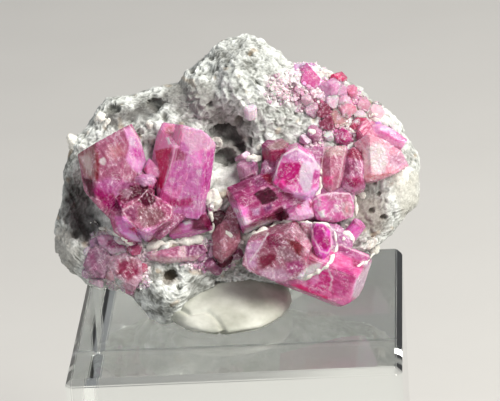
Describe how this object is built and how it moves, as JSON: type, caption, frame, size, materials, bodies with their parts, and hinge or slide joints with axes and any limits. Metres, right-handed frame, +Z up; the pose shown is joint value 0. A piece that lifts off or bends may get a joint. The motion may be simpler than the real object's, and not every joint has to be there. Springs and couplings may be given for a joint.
{
  "type": "mineral specimen on a display block",
  "caption": "Pink to magenta red beryl crystals on pale rhyolite, held upright by putty on a clear acrylic cube.",
  "frame": {"origin": "centre of the bottom face of the acrylic block", "axes": "+Z up out of the top of the block, +X to the right and +Y to the back, seen from the side the crystals face"},
  "size_m": [0.0428, 0.0382, 0.0693],
  "materials": {
    "clear_acrylic": "clear, polished all over",
    "putty": "matte off-white putty with fine wrinkles",
    "rhyolite": "rough broken white rhyolite",
    "red_beryl": "translucent pink to magenta crystal with smooth faces, partly coated with white clay"
  },
  "bodies": {
    "root": {"acrylic_block": "clear_acrylic", "mounting_putty": "putty", "matrix": "rhyolite", "left_cluster": "red_beryl", "lower_right_cluster": "red_beryl", "purple_crystal": "red_beryl", "upper_right_cluster": "red_beryl", "faded_cluster": "red_beryl", "crystal_blade": "red_beryl", "lower_left_crystals": "red_beryl", "small_prism": "red_beryl", "lone_crystal": "red_beryl"}
  },
  "joints": []
}
